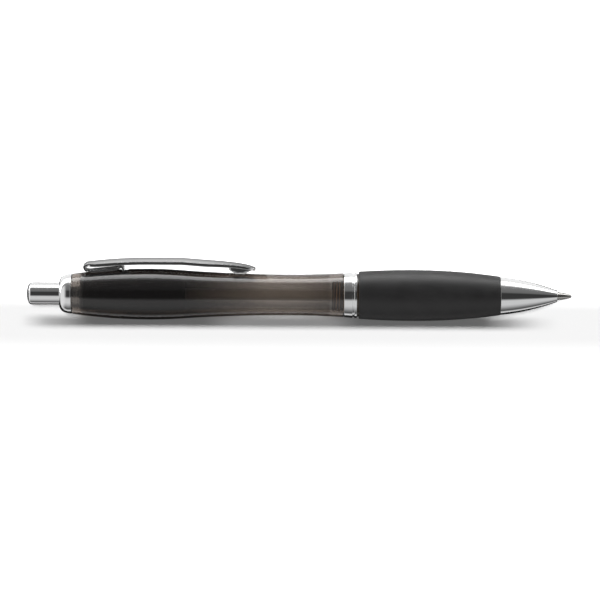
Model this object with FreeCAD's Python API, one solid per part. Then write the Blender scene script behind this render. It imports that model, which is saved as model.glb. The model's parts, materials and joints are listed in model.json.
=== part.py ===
import FreeCAD, Part

import math
import os

# A click-action ballpoint pen. The origin is the front point of the writing ball, the pen's axis is X and
# the button lies at -X. The pieces are drawn with the clip straight up and are then rolled about the axis
# into the pose in which the pen lies on a table: on the bulges of its barrel and grip, with an edge of the
# clip down.

# Lengths along the pen, from the writing point back to the button, in millimetres
tip_showing = 3.7
nose_length = 14.9
grip_length = 36.5
centre_ring_length = 3.3
barrel_length = 70.4
end_ring_length = 3.15
button_showing = 8.45
seam = 0.05
press_gap = 0.02

# Outline of the barrel
barrel_rear_radius = 5.2
barrel_bulge_radius = 6.6
barrel_waist_radius = 5.28
barrel_front_radius = 5.7
barrel_bulge_from_rear = 20.1
barrel_shoulder_length = 8.0
barrel_waist_from_front = 14.0
barrel_rim_chamfer = 0.2

# Hollows of the barrel
rear_socket_radius = 4.1
rear_socket_depth = 29.4
main_bore_radius = 3.7
front_socket_radius = 4.35
front_socket_depth = 3.6

# End ring
end_ring_rear_radius = 3.3
end_ring_front_radius = 5.1
end_ring_bore_radius = 2.95
end_ring_land = 0.45
end_ring_spigot_length = 2.3
end_ring_ridge_height = 0.08
end_ring_ridge_pitch = 0.5
end_ring_ridge_count = 4

# Guide sleeve
sleeve_clearance = 0.05
groove_radius = 3.5
groove_count = 4
groove_half_angle = 13.0
tooth_rise = 1.2

# Push button and the cam in it
button_clearance = 0.1
button_wall = 0.5
button_dome_height = 1.3
spline_clearance = 0.05
spline_half_angle = 9.0
spline_length = 3.0
cam_stem_length = 9.0
stop_gap = 0.1
spline_hold = 1.9

# Rotor cam
rotor_core_radius = 2.1
rotor_fin_length = 4.5
pilot_radius = 1.1
pilot_length = 5.0
pilot_clearance = 0.1
cup_radius = 2.4
cup_length = 4.6
cup_floor = 1.5
cam_gap = 0.06

# Strokes of the click action, from the latched position
retract_stroke = 4.8
press_stroke = 1.5

# Centre ring
centre_ring_rear_radius = 5.72
centre_ring_front_radius = 6.0
centre_groove_width = 0.55
centre_groove_depth = 0.3
centre_rim_width = 0.6
ring_clearance = 0.05

# Core of the grip
thread_clearance = 0.1
thread_length = 3.0
flange_radius = 5.55
flange_length = 0.5
core_radius = 4.3
core_bore_radius = 2.9
nose_spigot_radius = 3.45
nose_spigot_length = 7.0

# Outline of the rubber grip
grip_rear_radius = 6.14
grip_bulge_radius = 6.6
grip_front_radius = 5.02
grip_bulge_from_rear = 14.2
grip_rim_chamfer = 0.15

# Nose cone
nose_rear_radius = 4.93
nose_middle_radius = 3.78
nose_mouth_radius = 1.22
nose_lip_radius = 1.75
nose_lip_length = 0.8
nose_lip_edge = 0.08
nose_bore_radius = 2.4
nose_shoulder_from_mouth = 5.8

# Refill
refill_radius = 1.5
refill_bore_radius = 1.0
refill_clearance = 0.1
ear_radius = 2.05
ear_width = 1.1
ear_length = 2.4
ear_from_tip = 26.0
tip_shank_radius = 1.12
tip_plug_length = 6.0
tip_shank_length = 7.2
tip_collar_length = 0.8
tip_bullet_length = 4.6
tip_rim_radius = 0.45
ink_headroom = 5.2
ball_radius = 0.4
ball_clearance = 0.015
ball_protrusion = 0.27

# Spring round the refill's tip
spring_wire = 0.38
spring_turns = 8.0
spring_sides = 6
spring_clearance = 0.3
spring_end_gap = 0.03

# Clip
clip_width = 5.0
clip_end_width = 2.6
clip_thickness = 0.8
clip_crown = 0.55
clip_head_from_barrel_rear = 2.8
clip_length = 44.8
clip_rise = 2.9
clip_end_rise = 1.8
fold_gap = 1.38
clip_top_from_head = 17.3
clip_straight_length = 8.3
leaf_width = 4.0
leaf_thickness = 0.5
leaf_length = 10.6
leaf_rise = 1.1
leaf_gap = 0.55
leaf_hook_depth = 1.9
slot_clearance = 0.12
nub_width = 2.6
nub_from_end = 5.2
nub_length = 2.2
nub_ramp = 1.9
nub_shoulder = 0.9
nub_gap = 0.04

# Stations along the axis, worked out from the lengths
nose_mouth_x = -tip_showing
nose_rear_x = nose_mouth_x - nose_length
grip_front_x = nose_rear_x - seam
grip_rear_x = grip_front_x - grip_length
flange_rear_x = grip_rear_x - flange_length
ring_front_x = flange_rear_x - seam
ring_rear_x = ring_front_x - centre_ring_length
barrel_front_x = ring_rear_x - seam
barrel_rear_x = barrel_front_x - barrel_length
end_ring_front_x = barrel_rear_x - seam
end_ring_rear_x = end_ring_front_x - end_ring_length
button_end_x = end_ring_rear_x - button_showing
spigot_front_x = barrel_rear_x + end_ring_spigot_length
sleeve_rear_x = spigot_front_x + seam
front_socket_x = barrel_front_x - front_socket_depth
rear_socket_x = barrel_rear_x + rear_socket_depth
sleeve_front_x = rear_socket_x - seam
nose_shoulder_x = nose_mouth_x - nose_shoulder_from_mouth
nose_spigot_rear_x = nose_rear_x - nose_spigot_length
ear_front_x = -ear_from_tip
ball_centre_x = -ball_radius
plug_front_x = -(tip_bullet_length + tip_shank_length)

# The splines meet the end ring's spigot when the button is all the way out, which sets its front end
button_front_x = spigot_front_x + stop_gap + retract_stroke
spline_rear_x = button_front_x + seam
crown_rear_x = spline_rear_x + spline_length

# Pressed all the way in, the splines still hold in the grooves, which sets where the ribs and the rotor are
rib_front_x = crown_rear_x + press_stroke + spline_hold
fin_front_x = rib_front_x + rotor_fin_length
cup_bottom_x = fin_front_x + cup_floor
refill_rear_x = cup_bottom_x + seam

# Radii that follow from a bore and its clearance
button_radius = end_ring_bore_radius - button_clearance
button_bore_radius = button_radius - button_wall
rib_radius = end_ring_bore_radius
spline_radius = groove_radius - spline_clearance
crown_bore_radius = pilot_radius + pilot_clearance
spigot_radius = rear_socket_radius - sleeve_clearance
thread_radius = front_socket_radius - thread_clearance
cup_bore_radius = refill_radius + refill_clearance
spring_radius = nose_bore_radius - spring_clearance - spring_wire / 2
tooth_count = 2 * groove_count
tooth_angle = 360 / tooth_count

# Shared shapes


def vector(x, y=0.0, z=0.0):
    return FreeCAD.Vector(x, y, z)


def line(start, end):
    """Straight edge between two (x, height) points of a profile in the XZ plane."""
    return Part.LineSegment(vector(start[0], 0, start[1]), vector(end[0], 0, end[1])).toShape()


def lines(points):
    """Straight edges through the (x, height) points in turn."""
    return [line(start, end) for start, end in zip(points, points[1:])]


def arc(start, middle, end):
    """Circular edge through three (x, height) points."""
    return Part.Arc(*[vector(x, 0, height) for x, height in (start, middle, end)]).toShape()


def swell(crest, end):
    """Circular edge that runs parallel to the axis at its crest and ends at the other point."""
    length = end[0] - crest[0]
    fall = crest[1] - end[1]
    radius = (length ** 2 + fall ** 2) / (2 * abs(fall))
    half = math.asin(length / radius) / 2
    drop = math.copysign(radius * (1 - math.cos(half)), fall)
    return arc(crest, (crest[0] + radius * math.sin(half), crest[1] - drop), end)


def flat(edges):
    """Face bounded by edges that follow one another in the XZ plane."""
    return Part.Face(Part.Wire(edges))


def turned(edges):
    """Solid swept by a closed profile in one full turn about the pen's axis."""
    return flat(edges).revolve(vector(0), vector(1), 360)


def turned_lines(points):
    """Turned solid whose profile has straight sides only."""
    return turned(lines(points + points[:1]))


def tube(rear_x, front_x, outer, inner=0.0):
    """Cylinder about the axis, with a bore if inner is given."""
    return turned_lines([(rear_x, inner), (rear_x, outer), (front_x, outer), (front_x, inner)])


def rim_at(body, x, bore):
    """Outer edge of the flat end face of a turned body at this station."""
    flat_edges = [edge for edge in body.Edges if edge.BoundBox.XLength < 0.001]
    here = [edge for edge in flat_edges if abs(edge.BoundBox.Center.x - x) < 0.001]
    return [edge for edge in here if edge.BoundBox.ZMax > bore + 0.4]


def turn_about_axis(shape, angle):
    copy = shape.copy()
    copy.rotate(vector(0), vector(1), angle)
    return copy


def sector(rear_x, front_x, inner, outer, middle_angle, half_angle):
    """Part of a tube's wall between two angles. Angles are counted about +X from straight up."""
    foot = vector(rear_x, 0, inner)
    top = vector(rear_x, 0, outer)
    profile = Part.makePolygon([foot, top, vector(front_x, 0, outer), vector(front_x, 0, inner), foot])
    wall = Part.Face(profile).revolve(vector(0), vector(1), 2 * half_angle)
    return turn_about_axis(wall, middle_angle - half_angle)


def in_front_of_slope(x, angle):
    """Block that fills all in front of a slanted plane through the radius at this angle. The plane falls
    back towards the button as the angle grows, by the tooth's rise in the width of one tooth."""
    width = 2 * math.pi * rib_radius / tooth_count
    slant = math.degrees(math.atan(tooth_rise / width))
    size = 4 * rib_radius
    block = Part.makeBox(size, 2 * size, size, vector(0, -size, 0))
    block.rotate(vector(0), vector(0, 0, 1), -slant)
    block.translate(vector(x))
    return turn_about_axis(block, angle)


def toothed_sector(rear_x, tooth_x, inner, outer, start_angle, end_angle):
    """Wall between two angles whose front end is one slanted tooth. tooth_x is the height at its middle."""
    middle = (start_angle + end_angle) / 2
    half = (end_angle - start_angle) / 2
    wall = sector(rear_x, tooth_x + 2 * tooth_rise, inner, outer, middle, half)
    return wall.cut(in_front_of_slope(tooth_x, middle))


# Barrel: a moulded tube of smoke-tinted plastic, widest where the clip presses and slimmest near its front


def barrel_outline():
    """Outer line of the barrel from rear to front: four arcs, level at the bulge and at the waist. The arcs
    between bulge and waist meet on the straight line from one to the other, where their slopes are equal."""
    bulge = (barrel_rear_x + barrel_bulge_from_rear, barrel_bulge_radius)
    waist = (barrel_front_x - barrel_waist_from_front, barrel_waist_radius)
    share = barrel_shoulder_length / (waist[0] - bulge[0])
    shoulder = (bulge[0] + barrel_shoulder_length, bulge[1] + share * (waist[1] - bulge[1]))
    return [
        swell(bulge, (barrel_rear_x, barrel_rear_radius)),
        swell(bulge, shoulder),
        swell(waist, shoulder),
        swell(waist, (barrel_front_x, barrel_front_radius)),
    ]


def barrel_radius_at(x):
    """Radius of the barrel's outer line at one station."""
    crossing = line((x, 0), (x, 2 * barrel_bulge_radius))
    distance, pairs, info = Part.Wire(barrel_outline()).distToShape(crossing)
    return pairs[0][0].z


def leaf_slot(grown):
    """Block where the clip's hook goes down into the barrel, larger than the hook by grown on each side."""
    box = clip_hook().BoundBox
    length = box.XLength + 2 * grown
    width = leaf_width + 2 * grown
    corner = vector(box.XMin - grown, -width / 2, spigot_radius)
    return Part.makeBox(length, width, barrel_bulge_radius, corner)


def make_barrel():
    hollow = [
        (barrel_front_x, barrel_front_radius),
        (barrel_front_x, front_socket_radius),
        (front_socket_x, front_socket_radius),
        (front_socket_x, main_bore_radius),
        (rear_socket_x, main_bore_radius),
        (rear_socket_x, rear_socket_radius),
        (barrel_rear_x, rear_socket_radius),
        (barrel_rear_x, barrel_rear_radius),
    ]
    body = turned(barrel_outline() + lines(hollow))
    rear_rim = rim_at(body, barrel_rear_x, rear_socket_radius)
    front_rim = rim_at(body, barrel_front_x, front_socket_radius)
    body = body.makeChamfer(barrel_rim_chamfer, rear_rim + front_rim)
    return body.cut(leaf_slot(slot_clearance))


# End ring: closes the barrel behind and guides the button, held by a ridged spigot


def make_end_ring():
    """Its outside is rounded over from the flat rear face to a short land at the seam."""
    shoulder_x = end_ring_front_x - end_ring_land
    depth = shoulder_x - end_ring_rear_x
    height = end_ring_front_radius - end_ring_rear_radius
    middle = (shoulder_x - depth * math.sqrt(0.5), end_ring_rear_radius + height * math.sqrt(0.5))
    rear_edge = (end_ring_rear_x, end_ring_rear_radius)
    shoulder = (shoulder_x, end_ring_front_radius)
    bore = end_ring_bore_radius
    edges = [arc(rear_edge, middle, shoulder)] + lines([
        shoulder,
        (end_ring_front_x, barrel_rear_radius),
        (end_ring_front_x, spigot_radius - end_ring_ridge_height),
        (spigot_front_x, spigot_radius - end_ring_ridge_height),
        (spigot_front_x, bore),
        (end_ring_rear_x, bore),
        rear_edge,
    ])
    ring = turned(edges)
    for number in range(end_ring_ridge_count):
        middle = barrel_rear_x + (number + 0.75) * end_ring_ridge_pitch
        half = 0.3 * end_ring_ridge_pitch
        foot = spigot_radius - end_ring_ridge_height
        ridge = turned_lines([
            (middle - half, foot - 0.3),
            (middle - half, foot),
            (middle, spigot_radius),
            (middle + half, foot),
            (middle + half, foot - 0.3),
        ])
        ring = ring.fuse(ridge)
    return ring.removeSplitter()


# Guide sleeve: its ribs steer the splines, and their saw-tooth front ends carry the latched rotor


def rib_teeth(groove_angle):
    """One rib between two grooves: a long tooth that stops the fin half-way, then a short one."""
    start = groove_angle + groove_half_angle
    stop = groove_angle + tooth_angle + spline_half_angle
    end = groove_angle + 360 / groove_count - groove_half_angle
    outer = (groove_radius + spigot_radius) / 2
    long_tooth = toothed_sector(sleeve_rear_x, rib_front_x, rib_radius, outer, start, stop)
    short_tooth = toothed_sector(sleeve_rear_x, rib_front_x, rib_radius, outer, stop, end)
    return long_tooth.fuse(short_tooth)


def make_guide_sleeve():
    sleeve = tube(sleeve_rear_x, sleeve_front_x, spigot_radius, groove_radius)
    for number in range(groove_count):
        sleeve = sleeve.fuse(rib_teeth(number * 360 / groove_count))
    return sleeve.removeSplitter()


# Push button: a plated cap tube with a domed end, and the cam pressed into it


def crown_front_x():
    """The crown's points stand just behind the fins of the rotor."""
    return rib_front_x - cam_gap - tooth_rise * spline_half_angle / tooth_angle


def make_push_button():
    rim_x = button_end_x + button_dome_height
    inside = button_bore_radius / button_radius
    outer_dome = arc((button_end_x, 0), dome_middle(button_end_x, button_radius), (rim_x, button_radius))
    inner_end_x = button_end_x + button_wall * 1.6
    inner_rim_x = inner_end_x + button_dome_height * inside
    inner_rim = (inner_rim_x, button_bore_radius)
    inner_dome = arc(inner_rim, dome_middle(inner_end_x, button_bore_radius), (inner_end_x, 0))
    walls = [
        outer_dome,
        line((rim_x, button_radius), (button_front_x, button_radius)),
        line((button_front_x, button_radius), (button_front_x, button_bore_radius)),
        line((button_front_x, button_bore_radius), inner_rim),
        inner_dome,
        line((inner_end_x, 0), (button_end_x, 0)),
    ]
    return turned(walls)


def dome_middle(end_x, radius):
    """Point half-way up a dome whose height is in proportion to the button's own."""
    height = button_dome_height * radius / button_radius
    sphere = (radius ** 2 + height ** 2) / (2 * height)
    half = math.asin(radius / sphere) / 2
    return (end_x + sphere * (1 - math.cos(half)), sphere * math.sin(half))


def make_thrust_cam():
    front_x = crown_front_x()
    stem_radius = button_bore_radius - press_gap
    stem = tube(spline_rear_x - cam_stem_length, crown_rear_x, stem_radius, crown_bore_radius)
    body = tube(spline_rear_x, crown_rear_x, button_radius, crown_bore_radius)
    cam = stem.fuse(body)
    for number in range(groove_count):
        angle = number * 360 / groove_count
        cam = cam.fuse(sector(
            spline_rear_x, crown_rear_x, crown_bore_radius, spline_radius, angle, spline_half_angle))
    for number in range(tooth_count):
        start = (number + 0.5) * tooth_angle
        end = start + tooth_angle
        tooth_x = front_x - tooth_rise / 2
        cam = cam.fuse(toothed_sector(crown_rear_x, tooth_x, crown_bore_radius, button_radius, start, end))
    return cam.removeSplitter()


# Rotor cam: its fins run in the grooves, ride on the crown and rest on the ribs when the pen is latched


def make_rotor_cam():
    cup_front_x = fin_front_x + cup_length
    core_rear_x = rib_front_x + tooth_rise / 2
    core = turned_lines([
        (core_rear_x, 0),
        (core_rear_x, rotor_core_radius),
        (fin_front_x, rotor_core_radius),
        (fin_front_x, cup_radius),
        (cup_front_x, cup_radius),
        (cup_front_x, cup_bore_radius),
        (cup_bottom_x, cup_bore_radius),
        (cup_bottom_x, 0),
    ])
    core = core.fuse(tube(core_rear_x - pilot_length, core_rear_x, pilot_radius))
    for number in range(groove_count):
        angle = number * 360 / groove_count
        rear_x = rib_front_x - tooth_rise
        fin = sector(rear_x, fin_front_x, rotor_core_radius / 2, spline_radius, angle, spline_half_angle)
        inner = tube(rib_front_x - 2 * tooth_rise, core_rear_x, rotor_core_radius)
        slanted = fin.common(in_front_of_slope(rib_front_x, angle)).cut(inner)
        core = core.fuse(slanted)
    return core.removeSplitter()


# Centre ring: plated, with one turned groove, loose on the threaded spigot of the front section


def make_centre_ring():
    rim_rear_x = ring_front_x - centre_rim_width
    groove_rear_x = rim_rear_x - centre_groove_width
    bore = thread_radius + ring_clearance
    slope = (centre_ring_front_radius - centre_ring_rear_radius) / centre_ring_length
    groove_radius_here = centre_ring_rear_radius + slope * (groove_rear_x - ring_rear_x)
    rim_radius_here = centre_ring_rear_radius + slope * (rim_rear_x - ring_rear_x)
    ring = turned_lines([
        (ring_rear_x, bore),
        (ring_rear_x, centre_ring_rear_radius),
        (groove_rear_x, groove_radius_here),
        (groove_rear_x, groove_radius_here - centre_groove_depth),
        (rim_rear_x, rim_radius_here - centre_groove_depth),
        (rim_rear_x, rim_radius_here),
        (ring_front_x, centre_ring_front_radius),
        (ring_front_x, bore),
    ])
    return ring


# Front section: a hard core with the thread, the soft grip on it and the plated nose cone in it


def make_grip_core():
    thread_rear_x = ring_rear_x - thread_length
    seat_radius = nose_spigot_radius + press_gap
    seat_rear_x = nose_spigot_rear_x - seam
    return turned_lines([
        (thread_rear_x, core_bore_radius),
        (thread_rear_x, thread_radius),
        (flange_rear_x, thread_radius),
        (flange_rear_x, flange_radius),
        (grip_rear_x, flange_radius),
        (grip_rear_x, core_radius),
        (grip_front_x, core_radius),
        (grip_front_x, seat_radius),
        (seat_rear_x, seat_radius),
        (seat_rear_x, core_bore_radius),
    ])


def make_rubber_grip():
    """Two arcs that are level at the bulge, over a plain bore."""
    bulge = (grip_rear_x + grip_bulge_from_rear, grip_bulge_radius)
    rear = (grip_rear_x, grip_rear_radius)
    front = (grip_front_x, grip_front_radius)
    bore = core_radius + press_gap
    grip = turned([swell(bulge, rear), swell(bulge, front)] + lines([
        front,
        (grip_front_x, bore),
        (grip_rear_x, bore),
        rear,
    ]))
    rims = rim_at(grip, grip_rear_x, bore) + rim_at(grip, grip_front_x, bore)
    return grip.makeChamfer(grip_rim_chamfer, rims)


def make_nose_cone():
    """One arc from the grip to the lip, and a small one round the lip to the mouth."""
    lip = (nose_mouth_x - nose_lip_length, nose_lip_radius)
    rim_radius = nose_mouth_radius + nose_lip_edge
    rear = (nose_rear_x, nose_rear_radius)
    middle = ((nose_rear_x + nose_mouth_x) / 2, nose_middle_radius)
    lip_middle = (nose_mouth_x - 0.25 * nose_lip_length, rim_radius + 0.7 * (nose_lip_radius - rim_radius))
    inside = lines([
        (nose_mouth_x, rim_radius),
        (nose_mouth_x, nose_mouth_radius),
        (nose_shoulder_x, nose_mouth_radius),
        (nose_shoulder_x, nose_bore_radius),
        (nose_spigot_rear_x, nose_bore_radius),
        (nose_spigot_rear_x, nose_spigot_radius),
        (nose_rear_x, nose_spigot_radius),
        (nose_rear_x, nose_rear_radius),
    ])
    return turned([arc(rear, middle, lip), arc(lip, lip_middle, (nose_mouth_x, rim_radius))] + inside)


# Refill: plastic tube with two ears for the spring, its ink, the turned metal tip and the rolling ball


def make_refill_tube():
    body = tube(refill_rear_x, plug_front_x, refill_radius, refill_bore_radius)
    for side in (1, -1):
        corner = vector(ear_front_x - ear_length, -ear_width / 2, 0)
        ear = Part.makeBox(ear_length, ear_width, ear_radius, corner)
        ear = turn_about_axis(ear, 90 + 90 * side)
        rounded = ear.common(tube(ear_front_x - ear_length, ear_front_x, ear_radius, refill_bore_radius))
        body = body.fuse(rounded)
    return body.removeSplitter()


def make_refill_tip():
    """Plug in the tube, collar, shank, bullet-shaped end and the socket that holds the ball."""
    collar_front_x = plug_front_x + tip_collar_length
    plug_radius = refill_bore_radius - press_gap
    bullet_rear_x = -tip_bullet_length
    rim_x = -ball_protrusion
    bullet_middle = (0.55 * bullet_rear_x, 0.8 * tip_shank_radius)
    edges = [arc((bullet_rear_x, tip_shank_radius), bullet_middle, (rim_x, tip_rim_radius))] + lines([
        (rim_x, tip_rim_radius),
        (rim_x, 0),
        (plug_front_x - tip_plug_length, 0),
        (plug_front_x - tip_plug_length, plug_radius),
        (plug_front_x, plug_radius),
        (plug_front_x, refill_radius),
        (collar_front_x, refill_radius),
        (collar_front_x, tip_shank_radius),
        (bullet_rear_x, tip_shank_radius),
    ])
    tip = turned(edges)
    socket = Part.makeSphere(ball_radius + ball_clearance, vector(ball_centre_x), vector(1))
    feed = tube(plug_front_x - tip_plug_length, ball_centre_x, ball_radius / 2)
    return tip.cut(socket.fuse(feed))


def make_ink():
    """It fills the tube from the tip's plug back to the empty end that is left for air."""
    front_x = plug_front_x - tip_plug_length - seam
    return tube(refill_rear_x + ink_headroom, front_x, refill_bore_radius - press_gap)


def make_ball():
    return Part.makeSphere(ball_radius, vector(ball_centre_x), vector(1))


def make_spring():
    """Wire wound as a helix between the nose's shoulder and the ears of the refill. Its round section is
    drawn with a few flat sides, because the coil is sealed inside."""
    rear_x = ear_front_x + spring_end_gap + spring_wire / 2
    front_x = nose_shoulder_x - spring_end_gap - spring_wire / 2
    height = front_x - rear_x
    path = Part.makeHelix(height / spring_turns, height, spring_radius)
    outline = []
    for number in range(spring_sides):
        turn = 2 * math.pi * number / spring_sides
        across = spring_radius + spring_wire / 2 * math.cos(turn)
        outline.append(vector(across, 0, spring_wire / 2 * math.sin(turn)))
    section = Part.makePolygon(outline + outline[:1])
    wire = Part.Wire(path).makePipeShell([section], True, True)
    wire.rotate(vector(0), vector(0, 1, 0), 90)
    wire.translate(vector(rear_x))
    return wire


# Clip: one strip of plated spring steel. The strap is crowned, and its tail hooks into the barrel


def clip_head_x():
    return barrel_rear_x + clip_head_from_barrel_rear


def leaf_bottom_height(x):
    """The leaf clears the barrel by a small gap at its front end and falls towards the fold."""
    end_x = clip_head_x() + leaf_length
    return barrel_radius_at(end_x) + leaf_gap - leaf_rise * (end_x - x) / leaf_length


def fold_radius():
    """Outer radius of the fold between leaf and strap."""
    return leaf_thickness + fold_gap / 2


def strap_top(x):
    """Height of the strap's crest: it rises to the straight stretch, then falls towards the free end."""
    along = x - clip_head_x()
    level_end = clip_top_from_head + clip_straight_length
    top_height = barrel_bulge_radius + clip_rise
    if along < clip_top_from_head:
        head_height = leaf_bottom_height(clip_head_x()) + 2 * fold_radius()
        part = 1 - along / clip_top_from_head
        return top_height - (top_height - head_height) * part ** 2
    if along <= level_end:
        return top_height
    end_height = barrel_radius_at(clip_head_x() + clip_length) + clip_end_rise
    part = (along - level_end) / (clip_length - level_end)
    return top_height - (top_height - end_height) * (0.6 * part + 0.4 * part ** 6)


def strap_section(x, width, crown):
    """Cross-section of the crowned sheet at one station: two arcs, one sheet thickness apart."""
    top = strap_top(x)
    half = width / 2
    corners = [
        vector(x, -half, top - crown),
        vector(x, half, top - crown),
        vector(x, half, top - crown - clip_thickness),
        vector(x, -half, top - crown - clip_thickness),
    ]
    crest = Part.Arc(corners[0], vector(x, 0, top), corners[1]).toShape()
    hollow = Part.Arc(corners[2], vector(x, 0, top - clip_thickness), corners[3]).toShape()
    right = Part.LineSegment(corners[1], corners[2]).toShape()
    left = Part.LineSegment(corners[3], corners[0]).toShape()
    return Part.Wire([crest, right, hollow, left])


def make_strap():
    """Loft through the stations of the strap. The crown grows from the fold and fades near the free end.
    Each station is a share of the length, of the full width and of the full crown."""
    head = clip_head_x() + fold_radius()
    length = clip_length - fold_radius()
    end_share = clip_end_width / clip_width
    shares = [
        (0.0, 0.86, 0.12),
        (0.1, 0.96, 0.6),
        (0.25, 1.0, 1.0),
        (0.4, 1.0, 1.0),
        (0.56, 1.0, 1.0),
        (0.7, 0.98, 1.0),
        (0.85, 0.92, 0.9),
        (0.95, 0.5 + 0.5 * end_share, 0.7),
        (1.0, end_share, 0.4),
    ]
    sections = [
        strap_section(head + along * length, clip_width * width, clip_crown * crown)
        for along, width, crown in shares
    ]
    return Part.makeLoft(sections, True, False)


def clip_hook():
    """The end of the leaf, bent down into the barrel's slot, straight in side view."""
    end_x = clip_head_x() + leaf_length
    bottom = leaf_bottom_height(end_x)
    foot = bottom - leaf_hook_depth
    lean = 0.35 * leaf_hook_depth
    outline = [
        vector(end_x - leaf_thickness, -leaf_width / 2, bottom),
        vector(end_x - leaf_thickness, -leaf_width / 2, bottom + leaf_thickness),
        vector(end_x, -leaf_width / 2, bottom + leaf_thickness),
        vector(end_x + lean + leaf_thickness, -leaf_width / 2, foot),
        vector(end_x + lean, -leaf_width / 2, foot),
    ]
    return Part.Face(Part.makePolygon(outline + outline[:1])).extrude(vector(0, leaf_width, 0))


def make_leaf():
    start = clip_head_x() + fold_radius()
    end_x = clip_head_x() + leaf_length
    low, high = leaf_bottom_height(start), leaf_bottom_height(end_x)
    side = -leaf_width / 2
    outline = [
        vector(start, side, low),
        vector(start, side, low + leaf_thickness),
        vector(end_x, side, high + leaf_thickness),
        vector(end_x - leaf_thickness, side, high),
    ]
    leaf = Part.Face(Part.makePolygon(outline + outline[:1])).extrude(vector(0, leaf_width, 0))
    return leaf.fuse(clip_hook())


def make_fold():
    """Half a tube across the pen that joins the strap's end to the leaf's."""
    outer = fold_radius()
    start = clip_head_x() + outer
    side = -leaf_width / 2
    low = leaf_bottom_height(clip_head_x())
    centre = vector(start, side, low + outer)
    rod = Part.makeCylinder(outer, leaf_width, centre, vector(0, 1, 0))
    gap = Part.makeCylinder(outer - leaf_thickness, leaf_width, centre, vector(0, 1, 0))
    rear_half = Part.makeBox(outer, leaf_width, 2 * outer, vector(start - outer, side, low))
    return rod.cut(gap).common(rear_half)


def make_nub():
    """Bead under the free end that presses on the barrel, with a ramp in front for the cloth."""
    end_x = clip_head_x() + clip_length
    front = end_x - 0.4
    low_front = end_x - nub_from_end + nub_length
    low_rear = end_x - nub_from_end
    rear = low_rear - nub_ramp
    touch = barrel_radius_at(low_rear) + nub_gap
    inside = clip_thickness * 0.6
    outline = [
        (rear, strap_top(rear) - inside),
        (rear, touch + nub_shoulder),
        (low_rear, touch),
        (low_front, touch),
        (front, strap_top(front) - 1.6 * clip_thickness),
        (front, strap_top(front) - inside),
    ]
    profile = flat(lines(outline + outline[:1]))
    profile.translate(vector(0, -nub_width / 2, 0))
    return profile.extrude(vector(0, nub_width, 0))


def make_clip():
    clip = make_strap().fuse([make_fold(), make_leaf(), make_nub()])
    return clip.removeSplitter()


# Resting pose: the pen rolls until the clip's edge touches the table beside the two bulges


def rest_roll():
    """Angle about the axis from clip up to the pose at rest. The strap's lower corner comes down to the
    same level as the bulges."""
    edge_height = barrel_bulge_radius + clip_rise - clip_crown
    corner_radius = math.hypot(clip_width / 2, edge_height)
    corner_angle = math.degrees(math.atan2(clip_width / 2, edge_height))
    return math.degrees(math.acos(-barrel_bulge_radius / corner_radius)) - corner_angle


pieces = {
    "barrel": make_barrel(),
    "end_ring": make_end_ring(),
    "guide_sleeve": make_guide_sleeve(),
    "clip": make_clip(),
    "push_button": make_push_button(),
    "thrust_cam": make_thrust_cam(),
    "rotor_cam": make_rotor_cam(),
    "centre_ring": make_centre_ring(),
    "grip_core": make_grip_core(),
    "rubber_grip": make_rubber_grip(),
    "nose_cone": make_nose_cone(),
    "refill_spring": make_spring(),
    "refill_tube": make_refill_tube(),
    "ink": make_ink(),
    "refill_tip": make_refill_tip(),
    "ball": make_ball(),
}

os.makedirs("parts", exist_ok=True)
for name, piece in pieces.items():
    solid = turn_about_axis(piece, -rest_roll())
    solid.exportStep(f"parts/{name}.step")
    print(f"{name}: {len(solid.Solids)} solid, {solid.Volume:.2f} mm3, valid {solid.isValid()}")
print(f"rest roll {rest_roll():.2f} degrees")
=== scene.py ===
import json
import math

import bmesh
import bpy
import numpy as np
from mathutils import Matrix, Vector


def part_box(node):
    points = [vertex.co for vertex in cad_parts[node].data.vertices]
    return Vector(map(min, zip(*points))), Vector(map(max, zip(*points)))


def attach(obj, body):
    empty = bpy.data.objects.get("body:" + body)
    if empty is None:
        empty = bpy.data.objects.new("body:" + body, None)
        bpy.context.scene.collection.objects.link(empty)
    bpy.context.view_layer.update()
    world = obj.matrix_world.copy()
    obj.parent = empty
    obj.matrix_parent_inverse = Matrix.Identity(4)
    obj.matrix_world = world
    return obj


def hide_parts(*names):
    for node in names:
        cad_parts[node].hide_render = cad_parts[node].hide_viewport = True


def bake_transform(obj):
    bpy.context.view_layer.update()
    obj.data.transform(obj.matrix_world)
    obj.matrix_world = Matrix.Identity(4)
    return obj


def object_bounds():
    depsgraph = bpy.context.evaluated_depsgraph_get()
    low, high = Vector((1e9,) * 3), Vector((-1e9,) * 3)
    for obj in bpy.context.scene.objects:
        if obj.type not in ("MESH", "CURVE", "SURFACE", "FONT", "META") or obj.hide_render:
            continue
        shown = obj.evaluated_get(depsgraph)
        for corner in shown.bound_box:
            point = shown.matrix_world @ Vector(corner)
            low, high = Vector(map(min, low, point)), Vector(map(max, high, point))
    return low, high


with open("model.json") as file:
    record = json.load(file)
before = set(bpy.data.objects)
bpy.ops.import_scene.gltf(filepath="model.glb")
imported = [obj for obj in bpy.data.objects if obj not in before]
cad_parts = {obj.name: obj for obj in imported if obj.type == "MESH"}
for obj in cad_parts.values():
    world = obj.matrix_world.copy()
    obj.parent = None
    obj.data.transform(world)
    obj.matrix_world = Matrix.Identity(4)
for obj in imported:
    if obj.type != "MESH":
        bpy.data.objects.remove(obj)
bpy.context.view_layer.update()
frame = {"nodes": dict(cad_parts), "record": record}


# Refill tip: turned from nickel silver, a stepped pin with a bullet-shaped end. It is pressed into the
# refill tube, and its rolled rim holds the writing ball.

mm = 0.001
along = np.array([1.0, 0.0, 0.0])
clip_mount = next(m for m in frame["record"]["mounts"] if m["name"] == "pocket_clip")
out = np.array(clip_mount["axis"]) / np.linalg.norm(clip_mount["axis"])
side = np.array([0.0, out[2], -out[1]])


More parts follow.
